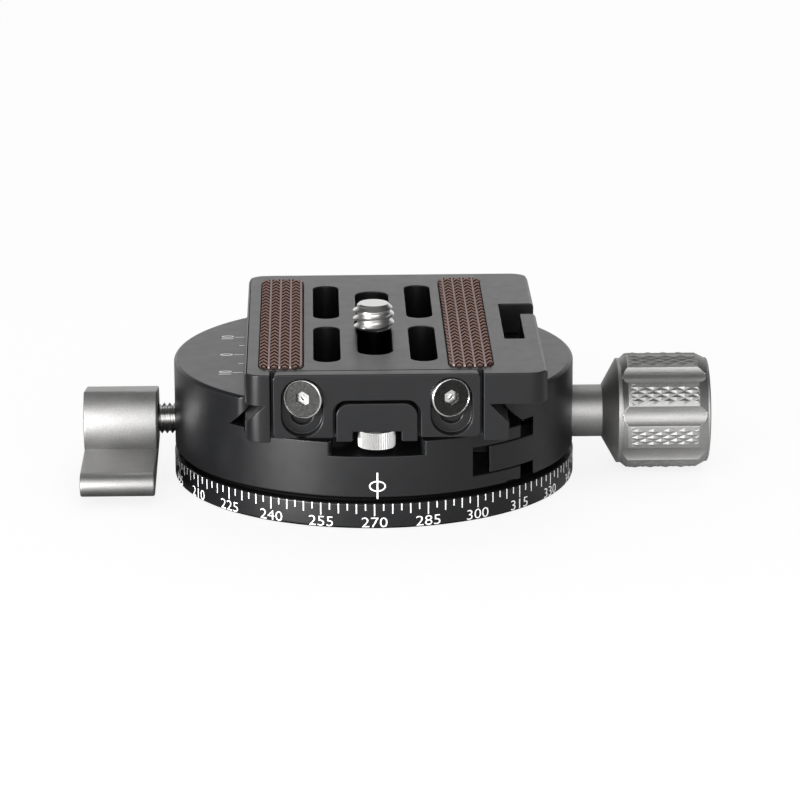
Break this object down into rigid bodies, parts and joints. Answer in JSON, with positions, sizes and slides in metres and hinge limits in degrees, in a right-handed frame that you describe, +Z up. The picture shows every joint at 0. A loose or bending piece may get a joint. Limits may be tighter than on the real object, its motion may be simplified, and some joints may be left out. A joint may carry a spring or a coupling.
{
  "type": "panning clamp",
  "caption": "Round panning clamp with a graduated base, dovetail jaws closed by a knob, a lever that locks the pan, and a slotted quick-release plate with an anti-twist flange.",
  "frame": {"origin": "centre of the tripod thread at the base's underside", "axes": "+X towards the clamp knob, +Y along the dovetail to the rear, +Z up to the camera"},
  "size_m": [0.0958, 0.0614, 0.0273],
  "materials": {
    "black_anodised": "fine-blasted black anodised aluminium",
    "titanium_anodised": "blasted titanium-grey anodised aluminium",
    "stainless": "turned stainless steel",
    "bronze": "turned bronze",
    "polymer": "black low-friction plastic",
    "grip_rubber": "brown rubber with a herringbone tread"
  },
  "bodies": {
    "base": {"base_disc": "black_anodised", "thread_insert": "stainless", "hub": "stainless", "hub_screws": "stainless", "lower_washer": "polymer", "upper_washer": "bronze"},
    "turntable": {"clamp_body": "black_anodised", "spring_plungers": "stainless"},
    "jaw": {"moving_jaw": "black_anodised", "guide_pins": "stainless", "knob_washer": "bronze"},
    "knob": {"clamp_knob": "titanium_anodised", "draw_screw": "stainless"},
    "shoe": {"brake_shoe": "bronze"},
    "lever": {"lock_lever": "titanium_anodised", "lock_stud": "stainless"},
    "plate": {"plate_body": "black_anodised", "grip_pad_left": "grip_rubber", "grip_pad_right": "grip_rubber", "flange_screws": "stainless", "safety_screws": "stainless"},
    "flange": {"anti_twist_flange": "black_anodised"},
    "screw_carrier": {"screw_washer": "polymer"},
    "screw": {"camera_screw": "stainless"}
  },
  "joints": [
    {"name": "pan", "type": "hinge", "parent": "base", "child": "turntable", "pos_m": [0, 0, 0], "axis": [0, 0, 1], "continuous": true},
    {"name": "jaw_slide", "type": "slide", "parent": "turntable", "child": "jaw", "axis": [1, 0, 0], "range_m": [0, 0.0038]},
    {"name": "knob_turn", "type": "hinge", "parent": "jaw", "child": "knob", "pos_m": [0.0444, 0, 0.00905], "axis": [1, 0, 0], "range_deg": [0, 1368.1]},
    {"name": "shoe_slide", "type": "slide", "parent": "turntable", "child": "shoe", "axis": [1, 0, 0], "range_m": [-0.000222, 0]},
    {"name": "lever_turn", "type": "hinge", "parent": "shoe", "child": "lever", "pos_m": [-0.0393, 0, 0.00855], "axis": [1, 0, 0], "range_deg": [-100, 0]},
    {"name": "plate_slide", "type": "slide", "parent": "turntable", "child": "plate", "axis": [0, 1, 0], "range_m": [-0.0073, 0.0073]},
    {"name": "flange_slide", "type": "slide", "parent": "plate", "child": "flange", "axis": [0, 0, 1], "range_m": [0, 0.0027]},
    {"name": "screw_slide", "type": "slide", "parent": "plate", "child": "screw_carrier", "axis": [0, 1, 0], "range_m": [-0.0134, 0.0194]},
    {"name": "screw_turn", "type": "hinge", "parent": "screw_carrier", "child": "screw", "pos_m": [0, -0.003, 0.02], "axis": [0, 0, 1], "continuous": true}
  ],
  "couplings": [
    {"joint": "knob_turn", "follows": "jaw_slide", "rad_per_m": 6283.2},
    {"joint": "lever_turn", "follows": "shoe_slide", "rad_per_m": 7854}
  ]
}
